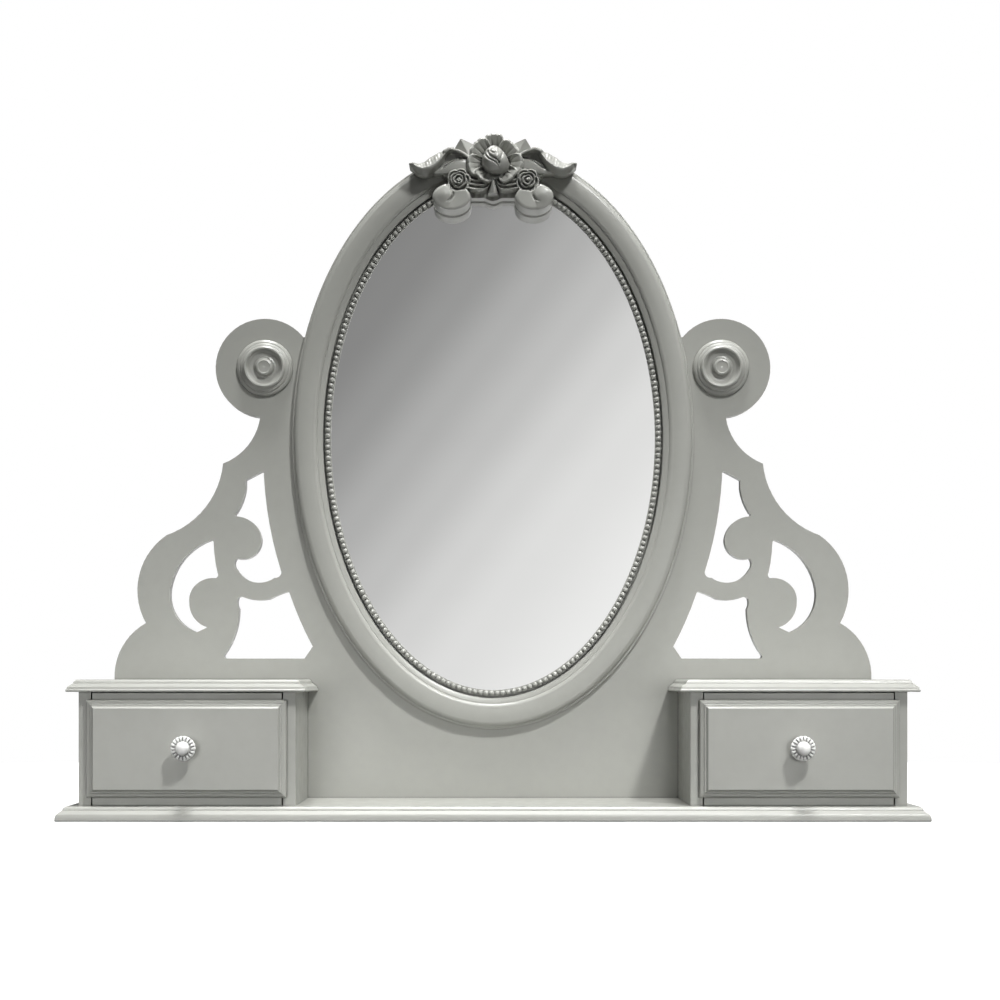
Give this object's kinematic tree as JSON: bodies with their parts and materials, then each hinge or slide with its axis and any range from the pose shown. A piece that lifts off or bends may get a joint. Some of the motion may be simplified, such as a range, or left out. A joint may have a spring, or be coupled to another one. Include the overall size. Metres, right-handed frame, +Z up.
{
  "type": "dressing table mirror with drawers",
  "caption": "Oval mirror with a beaded frame and carved crest on a fretwork back panel, with small drawer cases on a moulded base board.",
  "frame": {"origin": "centre of the base board's underside", "axes": "+Z up, +X to the right of someone facing the mirror, +Y away from them; the drawers open towards -Y"},
  "size_m": [0.9, 0.2005, 0.742],
  "materials": {
    "sage_paint": "satin sage-grey paint on wood",
    "bare_wood": "plain sanded pale wood",
    "board": "plain fibreboard",
    "mirror_glass": "silvered glass",
    "knob_white": "glossy white",
    "screw_steel": "zinc plated"
  },
  "bodies": {
    "stand": {"base_board": "sage_paint", "back_panel": "sage_paint", "mirror_frame": "sage_paint", "bead_moulding": "sage_paint", "carved_crest": "sage_paint", "left_rosette": "sage_paint", "right_rosette": "sage_paint", "left_case_inner_side": "sage_paint", "right_case_inner_side": "sage_paint", "left_case_outer_side": "sage_paint", "right_case_outer_side": "sage_paint", "left_case_top": "sage_paint", "right_case_top": "sage_paint", "mirror_glass": "mirror_glass", "case_dowels": "bare_wood", "base_screws": "screw_steel", "case_back_screws": "screw_steel", "mirror_screws": "screw_steel", "rosette_screws": "screw_steel"},
    "left_drawer": {"left_drawer_front": "sage_paint", "left_box_front": "sage_paint", "left_box_inner_side": "bare_wood", "left_box_outer_side": "bare_wood", "left_box_back": "bare_wood", "left_box_bottom": "board", "left_knob": "knob_white", "left_knob_screw": "screw_steel", "left_front_screws": "screw_steel"},
    "right_drawer": {"right_drawer_front": "sage_paint", "right_box_front": "sage_paint", "right_box_inner_side": "bare_wood", "right_box_outer_side": "bare_wood", "right_box_back": "bare_wood", "right_box_bottom": "board", "right_knob": "knob_white", "right_knob_screw": "screw_steel", "right_front_screws": "screw_steel"}
  },
  "joints": [
    {"name": "left_drawer_slide", "type": "slide", "parent": "stand", "child": "left_drawer", "axis": [0, -1, 0], "range_m": [0, 0.11]},
    {"name": "right_drawer_slide", "type": "slide", "parent": "stand", "child": "right_drawer", "axis": [0, -1, 0], "range_m": [0, 0.11]}
  ]
}
